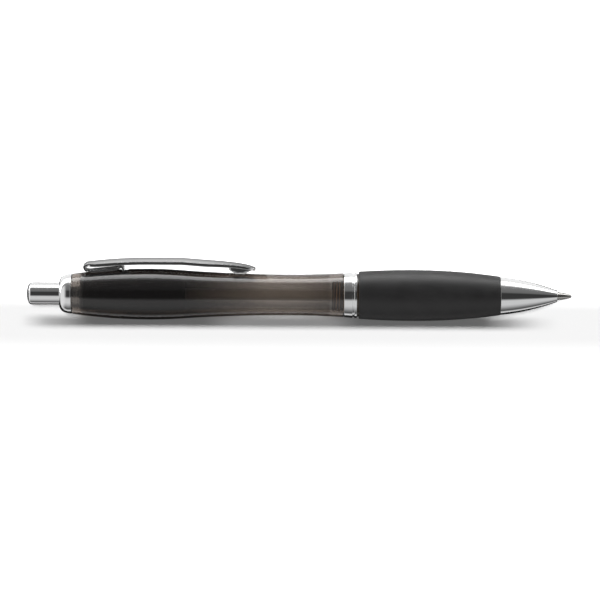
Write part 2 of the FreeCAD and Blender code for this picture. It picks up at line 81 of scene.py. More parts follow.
def place(x, across, up):
    """Point at x along the pen, across it towards side and up towards the clip, as x * along + across * side
    + up * out, for whole arrays at once."""
    return x[..., None] * along + across[..., None] * side + up[..., None] * out


def sheet(points, closed_along=False, closed_around=True):
    """Grid of points, rows by columns, as (points, quads). Each quad joins two neighbours in a row with the
    two below them, and a closed direction joins its last row or column to its first."""
    rows, columns = points.shape[:2]
    i = np.arange(rows if closed_along else rows - 1)[:, None]
    j = np.arange(columns if closed_around else columns - 1)[None, :]
    below, right = (i + 1) % rows, (j + 1) % columns
    corners = [i * columns + j, below * columns + j, below * columns + right, i * columns + right]
    quads = np.stack(np.broadcast_arrays(*corners), axis=-1).reshape(-1, 4)
    return points.reshape(-1, 3), quads


def solid(name, parts, crease=35):
    """One mesh object from several closed grids. A grid is turned inside out if the sum of its corners'
    triple products, six times its volume, is negative. Poles are closed by merging their equal points."""
    points, quads, start = [], [], 0
    for part_points, part_quads in parts:
        p = part_points[part_quads]
        volume = np.einsum("ij,ij->", p[:, 0], np.cross(p[:, 1], p[:, 2]) + np.cross(p[:, 2], p[:, 3]))
        quads.append((part_quads if volume > 0 else part_quads[:, ::-1]) + start)
        points.append(part_points)
        start += len(part_points)
    mesh = bpy.data.meshes.new(name)
    mesh.from_pydata(np.concatenate(points).tolist(), [], np.concatenate(quads).tolist())
    work = bmesh.new()
    work.from_mesh(mesh)
    bmesh.ops.remove_doubles(work, verts=work.verts, dist=0.0005 * mm)
    work.to_mesh(mesh)
    work.free()
    mesh.shade_smooth()
    mesh.set_sharp_from_angle(angle=math.radians(crease))
    thing = bpy.data.objects.new(name, mesh)
    bpy.context.scene.collection.objects.link(thing)
    return thing


def rounded(corners, steps=5):
    """Outline through corners (x, radius, rounding). At a corner a circle of that rounding touches both sides
    at rounding / tan(half the corner's angle) from it, and its arc is stepped in equal angles."""
    corners = np.array(corners, float)
    here, rounding = corners[:, :2], corners[:, 2:]
    back = np.roll(here, 1, axis=0) - here
    ahead = np.roll(here, -1, axis=0) - here
    back /= np.linalg.norm(back, axis=1, keepdims=True)
    ahead /= np.linalg.norm(ahead, axis=1, keepdims=True)
    half = np.arccos(np.clip(np.sum(back * ahead, axis=1, keepdims=True), -0.999999, 0.999999)) / 2
    reach = rounding / np.tan(half)
    middle = here + (back + ahead) / (2 * np.cos(half)) * rounding / np.sin(half)
    start, end = here + back * reach, here + ahead * reach
    turn = math.pi - 2 * half
    t = np.linspace(0, 1, steps + 1)[None, :, None]
    start_share = np.sin((1 - t) * turn[:, None]) / np.sin(turn[:, None])
    end_share = np.sin(t * turn[:, None]) / np.sin(turn[:, None])
    arc = middle[:, None] + start_share * (start - middle)[:, None] + end_share * (end - middle)[:, None]
    hold = 0.04 * mm * (rounding > 0)
    outline = np.concatenate([(start + back * hold)[:, None], arc, (end + ahead * hold)[:, None]], axis=1)
    outline = outline.reshape(-1, 2)
    moved = np.linalg.norm(outline - np.roll(outline, 1, axis=0), axis=1) > 0.0005 * mm
    return outline[moved]


def turned(outline, turns=128, closed=True):
    """An outline of (x, radius) points carried once round the axis: x along the pen, radius away from it in
    the direction out * cos(angle) + side * sin(angle)."""
    angle = 2 * math.pi * np.arange(turns)[None, :] / turns
    x, radius = outline[:, :1], outline[:, 1:]
    points = place(x + 0 * angle, radius * np.sin(angle), radius * np.cos(angle))
    return sheet(points, closed_along=closed)


def curve(start, end, middle_radius, steps=24):
    """Points of a profile from start to end whose radius passes through middle_radius half-way, by the
    parabola through the three."""
    t = np.linspace(0, 1, steps + 1)
    x = start[0] + t * (end[0] - start[0])
    lift = middle_radius - (start[1] + end[1]) / 2
    radius = start[1] + t * (end[1] - start[1]) + 4 * t * (1 - t) * lift
    return [(a, b, 0.0) for a, b in zip(x, radius)]


def surface(name, light, dark, grain, roughness, stretch=(1, 1, 1), bump=0.0, bump_grain=1.0, **sockets):
    """Material whose colour wanders between light and dark, and whose roughness between its two values, with
    a noise of that grain per metre. bump raises a finer noise by that many metres."""
    material = bpy.data.materials.new(name)
    material.use_nodes = True
    nodes, links = material.node_tree.nodes, material.node_tree.links
    shader = nodes["Principled BSDF"]
    coordinates = nodes.new("ShaderNodeTexCoord")
    mapping = nodes.new("ShaderNodeMapping")
    mapping.inputs["Scale"].default_value = stretch
    links.new(coordinates.outputs["Object"], mapping.inputs["Vector"])
    noise = nodes.new("ShaderNodeTexNoise")
    noise.inputs["Scale"].default_value = grain
    noise.inputs["Detail"].default_value = 3.0
    links.new(mapping.outputs["Vector"], noise.inputs["Vector"])
    ramp = nodes.new("ShaderNodeValToRGB")
    ramp.color_ramp.elements[0].position = 0.3
    ramp.color_ramp.elements[0].color = (*dark, 1)
    ramp.color_ramp.elements[1].position = 0.7
    ramp.color_ramp.elements[1].color = (*light, 1)
    links.new(noise.outputs["Fac"], ramp.inputs["Fac"])
    links.new(ramp.outputs["Color"], shader.inputs["Base Color"])
    spread = nodes.new("ShaderNodeMapRange")
    spread.inputs["From Min"].default_value = 0.3
    spread.inputs["From Max"].default_value = 0.7
    spread.inputs["To Min"].default_value = roughness[0]
    spread.inputs["To Max"].default_value = roughness[1]
    links.new(noise.outputs["Fac"], spread.inputs["Value"])
    links.new(spread.outputs["Result"], shader.inputs["Roughness"])
    if bump:
        fine = nodes.new("ShaderNodeTexNoise")
        fine.inputs["Scale"].default_value = bump_grain
        fine.inputs["Detail"].default_value = 2.0
        links.new(coordinates.outputs["Object"], fine.inputs["Vector"])
        relief = nodes.new("ShaderNodeBump")
        relief.inputs["Strength"].default_value = 1.0
        relief.inputs["Distance"].default_value = bump
        links.new(fine.outputs["Fac"], relief.inputs["Height"])
        links.new(relief.outputs["Normal"], shader.inputs["Normal"])
    for socket, value in sockets.items():
        shader.inputs[socket.replace("_", " ")].default_value = value
    return material


def dress(thing, material, slot_name, body, *nodes):
    """Gives a new piece its material and its place in the model: body to ride and nodes to stand for."""
    thing.data.materials.append(material)
    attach(thing, body)
    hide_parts(*nodes)
    return thing


def dress_node(node, material):
    """Gives a piece of the frame that is shown as it is its material."""
    thing = frame["nodes"][node]
    thing.data.materials.clear()
    thing.data.materials.append(material)


tip_rear_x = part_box("refill_tip")[0][0]
tip_front_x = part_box("refill_tip")[1][0]
tip_shank_radius = 1.12 * mm
tip_collar_radius = 1.5 * mm
tip_plug_radius = 0.98 * mm
tip_bullet_length = 4.3 * mm
tip_plug_length = 6.0 * mm
tip_collar_length = 0.76 * mm
tip_rim_radius = 0.45 * mm
tip_socket_radius = 0.415 * mm
tip_socket_depth = 0.54 * mm

collar_rear_x = tip_rear_x + tip_plug_length
collar_front_x = collar_rear_x + tip_collar_length
bullet_rear_x = tip_front_x - tip_bullet_length
tip_outline = rounded([
    (tip_rear_x, 0.2 * mm, 0),
    (tip_rear_x, tip_plug_radius, 0.1 * mm),
    (collar_rear_x, tip_plug_radius, 0),
    (collar_rear_x, tip_collar_radius, 0.08 * mm),
    (collar_front_x, tip_collar_radius, 0.08 * mm),
    (collar_front_x, tip_shank_radius, 0),
    (bullet_rear_x - 0.2 * mm, tip_shank_radius, 0),
] + curve((bullet_rear_x, tip_shank_radius), (tip_front_x, tip_rim_radius), 0.9 * mm) + [
    (tip_front_x, tip_socket_radius - 0.02 * mm, 0),
    (tip_front_x - 0.06 * mm, tip_socket_radius, 0),
    (tip_front_x - tip_socket_depth, tip_socket_radius, 0),
    (tip_front_x - tip_socket_depth, 0.2 * mm, 0),
])
tip_metal = surface(
    "turned nickel silver", (0.50, 0.49, 0.47), (0.38, 0.375, 0.36), 900, (0.14, 0.22),
    stretch=(6, 1, 1), Metallic=1.0)
tip = solid("refill_tip_turned", [turned(tip_outline, turns=72)])
dress(tip, tip_metal, "tip_metal", "refill", "refill_tip")


# Writing ball: hard metal ground to a ball of 0.8 mm, slightly etched so that it takes the ink. It rolls
# in the socket of the tip.

ball_metal = surface(
    "ground ball metal", (0.42, 0.42, 0.44), (0.30, 0.30, 0.32), 6000, (0.25, 0.4), Metallic=1.0)
dress_node("ball", ball_metal)


# Refill tube and ink: a drawn plastic tube with two pinched ears that carry the spring, filled with black
# ink paste. A real tube lets the ink show a little. This one is drawn opaque, so that the ink is hidden.

refill_plastic = surface(
    "milky refill plastic", (0.60, 0.58, 0.55), (0.52, 0.50, 0.47), 300, (0.3, 0.42),
    stretch=(0.2, 1, 1), Specular_IOR_Level=0.4)
dress_node("refill_tube", refill_plastic)
ink_paste = surface("black ink paste", (0.008, 0.008, 0.010), (0.004, 0.004, 0.006), 900, (0.25, 0.4))
dress_node("ink", ink_paste)


# Spring: wound from round steel wire, between the shoulder in the nose and the ears of the refill. Its ends
# are wound close. It is loose, and shortens as the refill comes out.

spring_rear_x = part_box("refill_spring")[0][0] + 0.03 * mm
spring_front_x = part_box("refill_spring")[1][0]
wire_radius = 0.19 * mm
coil_radius = 1.91 * mm
coil_turns = 8.0

turn_share = np.linspace(0, 1, int(coil_turns * 30))[:, None]
wire_angle = 2 * math.pi * np.arange(10)[None, :] / 10
coil_angle = 2 * math.pi * coil_turns * turn_share
lead = spring_rear_x + wire_radius + turn_share * (spring_front_x - spring_rear_x - 2 * wire_radius)
end_close = np.minimum(1, np.minimum(turn_share, 1 - turn_share) * 120)
wire_x = lead + wire_radius * end_close * np.sin(wire_angle)
wire_r = coil_radius + wire_radius * end_close * np.cos(wire_angle)
spring_points = place(wire_x, wire_r * np.sin(coil_angle), wire_r * np.cos(coil_angle))
spring = solid("refill_spring_wire", [sheet(spring_points)])
spring.data.materials.append(surface(
    "drawn spring steel", (0.50, 0.50, 0.50), (0.38, 0.38, 0.39), 2000, (0.2, 0.32), Metallic=1.0))
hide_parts("refill_spring")
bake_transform(spring)


# Guide sleeve and the two cams: black moulded plastic, self-lubricating. The sleeve is pressed into the
# barrel behind, and the cams turn and slide in it.

black_plastic = surface(
    "black moulded plastic", (0.064, 0.064, 0.066), (0.050, 0.050, 0.052), 500, (0.3, 0.45),
    bump=0.01 * mm, bump_grain=9000)
dress_node("guide_sleeve", black_plastic)
dress_node("thrust_cam", black_plastic)
dress_node("rotor_cam", black_plastic)


# End ring: moulded plastic with bright chrome plate. Its ridged spigot is pressed into the rear of the
# barrel and shows through the smoke-coloured wall.

ring_rear_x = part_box("end_ring")[0][0]
spigot_front_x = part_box("end_ring")[1][0]
barrel_rear_x, barrel_front_x = (corner[0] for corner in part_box("barrel"))
seam = 0.05 * mm
ring_front_x = barrel_rear_x - seam
ring_rear_radius = 3.3 * mm
ring_front_radius = 5.1 * mm
ring_face_radius = 5.2 * mm
ring_bore_radius = 2.95 * mm
ring_land = 0.45 * mm
spigot_radius = 4.05 * mm
ridge_height = 0.24 * mm
ridge_pitch = 0.62 * mm
ridge_count = 3

swing = np.linspace(0, math.pi / 2, 16)
ring_depth = ring_front_x - ring_land - ring_rear_x
shoulder_x = ring_rear_x + ring_depth * (1 - np.cos(swing))
shoulder_radius = ring_rear_radius + (ring_front_radius - ring_rear_radius) * np.sin(swing)
spigot_x = np.linspace(ring_front_x, spigot_front_x - 0.3 * mm, 140)
wave = np.cos(2 * math.pi * (spigot_x - barrel_rear_x - 0.75 * ridge_pitch) / ridge_pitch)
ridges_rear_x = barrel_rear_x + 0.1 * mm
ridges_front_x = barrel_rear_x + (ridge_count + 0.3) * ridge_pitch
in_ridges = (spigot_x > ridges_rear_x) & (spigot_x < ridges_front_x)
spigot_line = spigot_radius - ridge_height + ridge_height * in_ridges * np.clip(wave, 0, 1)
ring_outline = rounded(
    [(ring_rear_x, ring_bore_radius, 0.12 * mm)]
    + [(x, r, 0.0) for x, r in zip(shoulder_x, shoulder_radius)]
    + [(ring_front_x, ring_face_radius, 0.05 * mm), (ring_front_x, spigot_radius - ridge_height, 0)]
    + [(x, r, 0.0) for x, r in zip(spigot_x[1:], spigot_line[1:])]
    + [(spigot_front_x, spigot_radius - ridge_height, 0.1 * mm), (spigot_front_x, ring_bore_radius, 0)]
)
chrome = surface(
    "bright chrome plate", (0.87, 0.87, 0.87), (0.82, 0.825, 0.83), 160, (0.05, 0.10),
    stretch=(0.5, 1, 1), bump=0.0012 * mm, bump_grain=900, Metallic=1.0)
dress(solid("end_ring_plated", [turned(ring_outline)]), chrome, "chrome_plate", "barrel", "end_ring")


# Push button: a thin drawn cap tube with a domed end, plated bright. It is pressed on the stem of the
# thrust cam and slides in the end ring.

button_rear_x, button_front_x = (corner[0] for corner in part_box("push_button"))
button_radius = 2.85 * mm
button_wall = 0.5 * mm
button_dome = 1.3 * mm


def dome(end_x, radius, height, steps=14):
    """Profile of a domed end from the axis to the rim: x rises by height * (1 - cos(a)) while the radius
    grows by sin(a), squared off so that the edge is rounder than the middle."""
    a = np.linspace(0, math.pi / 2, steps)
    return [(x, r, 0.0) for x, r in zip(end_x + height * (1 - np.cos(a) ** 0.8), radius * np.sin(a) ** 0.9)]


button_outline = rounded(
    [(button_front_x, button_radius, 0.08 * mm), (button_front_x, button_radius - button_wall, 0.08 * mm)]
    + dome(button_rear_x + 1.6 * button_wall, button_radius - button_wall, button_dome * 0.8)[::-1]
    + dome(button_rear_x, button_radius, button_dome)
)
button = solid("push_button_plated", [turned(button_outline, turns=96)])
dress(button, chrome, "chrome_plate", "button", "push_button")


# Core of the grip: hard moulded plastic. Its thread screws the front of the pen into the barrel, and its
# first turns show through the barrel's wall as amber brown stripes. Shade is painted into its colour: it is
# darker at the thread's roots and nearly black on the flange between the centre ring and the grip.

core_rear_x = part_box("grip_core")[0][0]
grip_rear_x, grip_front_x = (corner[0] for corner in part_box("rubber_grip"))
thread_radius = 4.25 * mm
thread_depth = 0.45 * mm
thread_pitch = 0.75 * mm
flange_radius = 5.55 * mm
flange_length = 0.5 * mm
core_radius = 4.3 * mm
core_bore_radius = 2.9 * mm
nose_seat_radius = 3.47 * mm
nose_seat_length = 7.05 * mm
centre_ring_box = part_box("centre_ring")
thread_front_x = centre_ring_box[0][0] - 0.4 * mm

thread_turns = 96
core_outline = rounded([
    (thread_front_x, thread_radius - thread_depth, 0),
    (thread_front_x + 0.2 * mm, thread_radius, 0),
    (grip_rear_x - flange_length, thread_radius, 0),
    (grip_rear_x - flange_length, flange_radius, 0.06 * mm),
    (grip_rear_x, flange_radius, 0),
    (grip_rear_x, core_radius, 0),
    (grip_front_x, core_radius, 0),
    (grip_front_x, nose_seat_radius, 0),
    (grip_front_x - nose_seat_length, nose_seat_radius, 0),
    (grip_front_x - nose_seat_length, core_bore_radius, 0),
    (core_rear_x, core_bore_radius, 0),
])
thread_x = np.linspace(core_rear_x, thread_front_x, 112)[:, None]
thread_angle = 2 * math.pi * np.arange(thread_turns)[None, :] / thread_turns
thread_phase = (thread_x / thread_pitch - thread_angle / (2 * math.pi)) * 2 * math.pi
thread_fade = np.clip(np.minimum(thread_x - core_rear_x, thread_front_x - thread_x) / (0.6 * mm), 0, 1)
thread_height = thread_fade * np.clip(0.5 + 0.9 * np.cos(thread_phase), 0, 1)
thread_line = thread_radius - thread_depth + thread_depth * thread_height
thread_points = place(
    thread_x + 0 * thread_angle, thread_line * np.sin(thread_angle), thread_line * np.cos(thread_angle))
plain_line = turned(core_outline, turns=thread_turns)[0]
core_points = np.concatenate([thread_points, plain_line.reshape(-1, thread_turns, 3)])
core_plastic = surface(
    "amber core plastic with painted shade", (0.56, 0.40, 0.27), (0.44, 0.31, 0.20), 400, (0.22, 0.35))
core_nodes, core_links = core_plastic.node_tree.nodes, core_plastic.node_tree.links
# Painted shade: the colour is multiplied by a ramp on the distance from the axis. It is 0.14 at the thread's
# roots, full at the crests and 0.025 on the flange.
core_split = core_nodes.new("ShaderNodeVectorMath")
core_split.operation = "MULTIPLY"
core_split.inputs[1].default_value = (0, 1, 1)
core_links.new(core_nodes["Texture Coordinate"].outputs["Object"], core_split.inputs[0])
core_distance = core_nodes.new("ShaderNodeVectorMath")
core_distance.operation = "LENGTH"
core_links.new(core_split.outputs["Vector"], core_distance.inputs[0])
core_share = core_nodes.new("ShaderNodeMapRange")
core_share.inputs["From Min"].default_value = thread_radius - 0.9 * thread_depth
core_share.inputs["From Max"].default_value = thread_radius + 0.2 * mm
core_links.new(core_distance.outputs["Value"], core_share.inputs["Value"])
painted_thread_shade = core_nodes.new("ShaderNodeValToRGB")
painted_thread_shade.color_ramp.elements[0].color = (0.14, 0.14, 0.14, 1)
painted_thread_shade.color_ramp.elements[1].color = (0.025, 0.025, 0.025, 1)
painted_thread_shade.color_ramp.elements.new(0.66).color = (1, 1, 1, 1)
core_links.new(core_share.outputs["Result"], painted_thread_shade.inputs["Fac"])
shaded_core_colour = core_nodes.new("ShaderNodeMix")
shaded_core_colour.data_type = "RGBA"
shaded_core_colour.blend_type = "MULTIPLY"
shaded_core_colour.inputs["Factor"].default_value = 1.0
core_links.new(core_nodes["Color Ramp"].outputs["Color"], shaded_core_colour.inputs["A"])
core_links.new(painted_thread_shade.outputs["Color"], shaded_core_colour.inputs["B"])
core_links.new(shaded_core_colour.outputs["Result"], core_nodes["Principled BSDF"].inputs["Base Color"])
grip_core = solid("grip_core_threaded", [sheet(core_points, closed_along=True)])
dress(grip_core, core_plastic, "core_plastic", "front", "grip_core")


# Nose cone: chrome-plated, pressed into the core. One long curve runs from the grip to the rounded lip
# that the tip comes out of.

nose_rear_x, nose_front_x = (corner[0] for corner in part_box("nose_cone"))
nose_shoulder_x = grip_front_x + seam
nose_rear_radius = 4.93 * mm
nose_middle_radius = 3.78 * mm
nose_lip_radius = 1.75 * mm
nose_mouth_radius = 1.22 * mm
nose_lip_length = 0.8 * mm
nose_spigot_radius = 3.45 * mm
nose_bore_radius = 2.4 * mm
nose_bore_depth = 5.8 * mm

lip_x = nose_front_x - nose_lip_length
nose_outline = rounded(
    [(nose_rear_x, nose_spigot_radius, 0.2 * mm), (nose_shoulder_x, nose_spigot_radius, 0)]
    + [(nose_shoulder_x, nose_rear_radius, 0.12 * mm)]
    + curve((nose_shoulder_x, nose_rear_radius), (lip_x, nose_lip_radius), nose_middle_radius, steps=40)[1:]
    + [(nose_front_x - 0.12 * mm, nose_mouth_radius + 0.3 * mm, 0.15 * mm)]
    + [(nose_front_x, nose_mouth_radius, 0.06 * mm), (nose_front_x - nose_bore_depth, nose_mouth_radius, 0)]
    + [(nose_front_x - nose_bore_depth, nose_bore_radius, 0), (nose_rear_x, nose_bore_radius, 0.1 * mm)]
)
dress(solid("nose_cone_plated", [turned(nose_outline)]), chrome, "chrome_plate", "front", "nose_cone")


# Rubber grip: a soft moulded sleeve, pushed over the core up to its flange. It swells under the fingers and
# has a matt, slightly dusty skin.

grip_rear_radius = 6.14 * mm
grip_bulge_radius = 6.6 * mm
grip_front_radius = 5.02 * mm
grip_bulge_x = grip_rear_x + 14.2 * mm
grip_rim = 0.18 * mm
grip_bore_radius = 4.32 * mm


def swell(x, crest, end):
    """Radius along a circle that is level at its crest and runs through its end: the crest's radius less
    R - sqrt(R^2 - distance^2), where R is (length^2 + fall^2) / (2 * fall)."""
    length, fall = end[0] - crest[0], crest[1] - end[1]
    big = (length ** 2 + fall ** 2) / (2 * abs(fall))
    return crest[1] - math.copysign(1, fall) * (big - np.sqrt(big ** 2 - (x - crest[0]) ** 2))


grip_x = np.concatenate([
    np.linspace(grip_rear_x, grip_bulge_x, 30), np.linspace(grip_bulge_x, grip_front_x, 44)[1:]])
grip_crest = (grip_bulge_x, grip_bulge_radius)
grip_line = np.where(
    grip_x < grip_bulge_x,
    swell(grip_x, grip_crest, (grip_rear_x, grip_rear_radius)),
    swell(np.maximum(grip_x, grip_bulge_x), grip_crest, (grip_front_x, grip_front_radius)),
)
grip_rounding = np.zeros(len(grip_x))
grip_rounding[[0, -1]] = grip_rim
grip_outline = rounded(
    list(zip(grip_x, grip_line, grip_rounding))
    + [(grip_front_x, grip_bore_radius, 0), (grip_rear_x, grip_bore_radius, 0)]
)
soft_rubber = surface(
    "soft black rubber", (0.013, 0.0128, 0.0130), (0.009, 0.0088, 0.009), 260, (0.46, 0.54),
    bump=0.010 * mm, bump_grain=5200, Specular_IOR_Level=0.45)
dress(solid("rubber_grip_sleeve", [turned(grip_outline)]), soft_rubber, "soft_rubber", "front", "rubber_grip")


# Centre ring: brass, turned with one groove and chrome-plated. It sits loose on the thread's neck, and is
# clamped between barrel and grip.

centre_rear_x, centre_front_x = (corner[0] for corner in centre_ring_box)
centre_rear_radius = 5.72 * mm
centre_front_radius = 6.0 * mm
centre_rim = 0.6 * mm
groove_width = 0.55 * mm
groove_depth = 0.3 * mm
centre_bore_radius = 4.3 * mm


def centre_radius(x):
    """The ring widens evenly from its rear to its front."""
    share = (x - centre_rear_x) / (centre_front_x - centre_rear_x)
    return centre_rear_radius + share * (centre_front_radius - centre_rear_radius)


rim_x = centre_front_x - centre_rim
groove_x = rim_x - groove_width
centre_outline = rounded([
    (centre_rear_x, centre_bore_radius, 0),
    (centre_rear_x, centre_rear_radius, 0.1 * mm),
    (groove_x, centre_radius(groove_x), 0.07 * mm),
    (groove_x + 0.08 * mm, centre_radius(groove_x) - groove_depth, 0),
    (rim_x - 0.08 * mm, centre_radius(rim_x) - groove_depth, 0),
    (rim_x, centre_radius(rim_x), 0.07 * mm),
    (centre_front_x, centre_front_radius, 0.1 * mm),
    (centre_front_x, centre_bore_radius, 0),
])
centre_ring = solid("centre_ring_plated", [turned(centre_outline)])
dress(centre_ring, chrome, "chrome_plate", "centre_ring", "centre_ring")


# Barrel: moulded from clear plastic tinted with smoke. It looks nearly black over the sleeve and the cams
# behind, and brown from its waist on. A slot behind takes the hook of the clip.

barrel_rear_radius = 5.2 * mm
barrel_bulge = (barrel_rear_x + 20.1 * mm, 6.6 * mm)
barrel_waist = (barrel_front_x - 14.0 * mm, 5.28 * mm)
barrel_front_radius = 5.7 * mm
shoulder_length = 8.0 * mm
barrel_rim = 0.2 * mm
rear_socket = (29.4 * mm, 4.1 * mm)
front_socket = (3.6 * mm, 4.35 * mm)
main_bore_radius = 3.7 * mm

share = shoulder_length / (barrel_waist[0] - barrel_bulge[0])
barrel_shoulder = tuple(a + share * (b - a) for a, b in zip(barrel_bulge, barrel_waist))


def barrel_radius(x):
    """Outer radius at x: four arcs, level at the bulge and at the waist, that meet on the shoulder."""
    spans = [x < barrel_bulge[0], x < barrel_shoulder[0], x < barrel_waist[0], x >= barrel_waist[0]]
    arcs = [
        swell(np.minimum(x, barrel_bulge[0]), barrel_bulge, (barrel_rear_x, barrel_rear_radius)),
        swell(np.clip(x, barrel_bulge[0], barrel_shoulder[0]), barrel_bulge, barrel_shoulder),
        swell(np.clip(x, barrel_shoulder[0], barrel_waist[0]), barrel_waist, barrel_shoulder),
        swell(np.maximum(x, barrel_waist[0]), barrel_waist, (barrel_front_x, barrel_front_radius)),
    ]
    return np.select(spans, arcs)


slot_half_width = 2.12 * mm
slot_rear_x = barrel_rear_x + 12.76 * mm
slot_front_x = barrel_rear_x + 14.7 * mm
slot_columns = 8
barrel_columns = 152


def parted(start, end, step):
    """Even stations from start to end, about one step apart, without the last."""
    count = max(1, round(abs(end - start) / step))
    return np.linspace(start, end, count + 1)[:-1]


outer_x = np.concatenate([
    [barrel_rear_x + 0.001 * mm],
    parted(barrel_rear_x + barrel_rim, slot_rear_x, 0.8 * mm),
    parted(slot_rear_x, slot_front_x, 0.5 * mm),
    parted(slot_front_x, barrel_front_x - barrel_rim, 0.8 * mm),
    [barrel_front_x - barrel_rim, barrel_front_x - 0.001 * mm],
])
outer_r = barrel_radius(outer_x)
outer_r[[0, -1]] -= barrel_rim
inner = [
    (barrel_front_x, front_socket[1]),
    (barrel_front_x - front_socket[0], front_socket[1]),
    (barrel_front_x - front_socket[0], main_bore_radius),
    (barrel_rear_x + rear_socket[0], main_bore_radius),
    (barrel_rear_x + rear_socket[0], rear_socket[1]),
    (slot_front_x, rear_socket[1]),
]
inner_slot_x = np.concatenate([parted(slot_rear_x, slot_front_x, 0.5 * mm), [slot_front_x]])[::-1]
bore_line = np.concatenate([
    np.array(inner[:-1]),
    np.stack([inner_slot_x, np.full(len(inner_slot_x), rear_socket[1])], axis=1),
    [(barrel_rear_x, rear_socket[1])],
])
barrel_outline = np.concatenate([np.stack([outer_x, outer_r], axis=1), bore_line])


def slotted(outline):
    """The outline carried round the axis as turned() does, with its columns drawn together or apart so that
    two of them keep the slot's half width from the middle plane: their angle is asin(half width / radius)."""
    x, radius = outline[:, :1], outline[:, 1:]
    edge = np.arcsin(slot_half_width / radius)
    over = np.linspace(-1, 1, slot_columns + 1)[None, :] * edge
    rest = edge + np.arange(1, barrel_columns)[None, :] / barrel_columns * (2 * math.pi - 2 * edge)
    angle = np.concatenate([over, rest], axis=1)
    return place(x + 0 * angle, radius * np.sin(angle), radius * np.cos(angle))


barrel_points = slotted(barrel_outline)
flat_points, quads = sheet(barrel_points, closed_along=True)
columns = barrel_points.shape[1]
row, column = quads[:, 0] // columns, quads[:, 0] % columns
station = barrel_outline[:, 0]
next_station = np.roll(station, -1)
middle_x = (station[row] + next_station[row]) / 2
in_slot = (middle_x > slot_rear_x) & (middle_x < slot_front_x) & (column < slot_columns)
quads = quads[~in_slot]

outer_rows = np.flatnonzero((outer_x > slot_rear_x - 0.001 * mm) & (outer_x < slot_front_x + 0.001 * mm))
inner_rows = len(outer_x) + 5 + np.arange(len(inner_slot_x))[::-1]


def rim_of(rows):
    """The slot's edge on one surface, as point numbers once round: along one side, across, back and across."""
    first, last = rows[0] * columns, rows[-1] * columns
    return np.concatenate([
        rows[:-1] * columns,
        last + np.arange(slot_columns),
        rows[:0:-1] * columns + slot_columns,
        first + np.arange(slot_columns, 0, -1),
    ])


upper, lower = rim_of(outer_rows), rim_of(inner_rows)
walls = np.stack([upper, lower, np.roll(lower, -1), np.roll(upper, -1)], axis=1)
barrel = solid("barrel_smoked", [(flat_points, np.concatenate([quads, walls]))])
smoke = surface(
    "smoke-tinted clear plastic", (0.98, 0.975, 0.97), (0.96, 0.955, 0.95), 220, (0.025, 0.05),
    stretch=(0.15, 1, 1), IOR=1.58, Transmission_Weight=0.985)
smoke_nodes, smoke_links = smoke.node_tree.nodes, smoke.node_tree.links
smoke_output = smoke_nodes["Material Output"]
smoke_split = smoke_nodes.new("ShaderNodeSeparateXYZ")
smoke_links.new(smoke_nodes.new("ShaderNodeTexCoord").outputs["Object"], smoke_split.inputs["Vector"])
smoke_share = smoke_nodes.new("ShaderNodeMapRange")
smoke_share.inputs["From Min"].default_value = barrel_rear_x
smoke_share.inputs["From Max"].default_value = barrel_front_x
smoke_links.new(smoke_split.outputs["X"], smoke_share.inputs["Value"])
smoke_fade = smoke_nodes.new("ShaderNodeValToRGB")
smoke_stops = smoke_fade.color_ramp.elements
barrel_length = barrel_front_x - barrel_rear_x
smoke_stops[0].position, smoke_stops[0].color = 2.2 * mm / barrel_length, (0.75, 0.75, 0.75, 1)
smoke_stops[1].position, smoke_stops[1].color = 3.4 * mm / barrel_length, (0, 0, 0, 1)
for position, clear in ((0.40, 0), (0.55, 0.45), (0.72, 0.88), (0.82, 0.84), (1.0, 0.5)):
    smoke_stops.new(position).color = (clear, clear, clear, 1)
smoke_links.new(smoke_share.outputs["Result"], smoke_fade.inputs["Fac"])
smoke_dark = smoke_nodes.new("ShaderNodeMix")
smoke_dark.data_type = "RGBA"
smoke_dark.inputs["A"].default_value = (0.23, 0.225, 0.23, 1)
smoke_links.new(smoke_fade.outputs["Color"], smoke_dark.inputs["Factor"])
smoke_links.new(smoke_nodes["Color Ramp"].outputs["Color"], smoke_dark.inputs["B"])
smoke_links.new(smoke_dark.outputs["Result"], smoke_nodes["Principled BSDF"].inputs["Base Color"])
light_path = smoke_nodes.new("ShaderNodeLightPath")
thinned = smoke_nodes.new("ShaderNodeBsdfTransparent")
thinned.inputs["Color"].default_value = (0.62, 0.58, 0.54, 1)
either = smoke_nodes.new("ShaderNodeMixShader")
smoke_links.new(light_path.outputs["Is Shadow Ray"], either.inputs["Fac"])
smoke_links.new(smoke_nodes["Principled BSDF"].outputs["BSDF"], either.inputs[1])
smoke_links.new(thinned.outputs["BSDF"], either.inputs[2])
smoke_links.new(either.outputs["Shader"], smoke_output.inputs["Surface"])
depth_tint = smoke_nodes.new("ShaderNodeVolumeAbsorption")
depth_tint.inputs["Color"].default_value = (0.21, 0.12, 0.04, 1)
depth_tint.inputs["Density"].default_value = 620
smoke_links.new(depth_tint.outputs["Volume"], smoke_output.inputs["Volume"])
dress(barrel, smoke, "smoke_plastic", "barrel", "barrel")


# Clip: one strip of spring steel, folded back under itself and plated. The strap is crowned, and the leaf
# under it has its edges turned down and ends in a hook in the barrel's slot. A bead under the free end
# presses on the barrel.

clip_rear_x, clip_front_x = (corner[0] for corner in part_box("clip"))
strap_thickness = 0.8 * mm
leaf_thickness = 0.5 * mm
strap_half_width = 2.5 * mm
leaf_half_width = 2.0 * mm
strap_crown = 0.80 * mm
top_from_rear = 17.3 * mm
straight_length = 8.3 * mm
top_height = barrel_bulge[1] + 2.9 * mm
end_height = barrel_radius(np.array([clip_front_x]))[0] + 1.8 * mm
leaf_length = 10.6 * mm
leaf_rise = 1.1 * mm
leaf_crown = 0.45 * mm
hook_depth = 1.9 * mm
fold_radius = 1.19 * mm
leaf_end_x = clip_rear_x + leaf_length
leaf_front_height = barrel_radius(np.array([leaf_end_x]))[0] + 0.55 * mm
leaf_rear_height = leaf_front_height - leaf_rise
fold_x = clip_rear_x + fold_radius


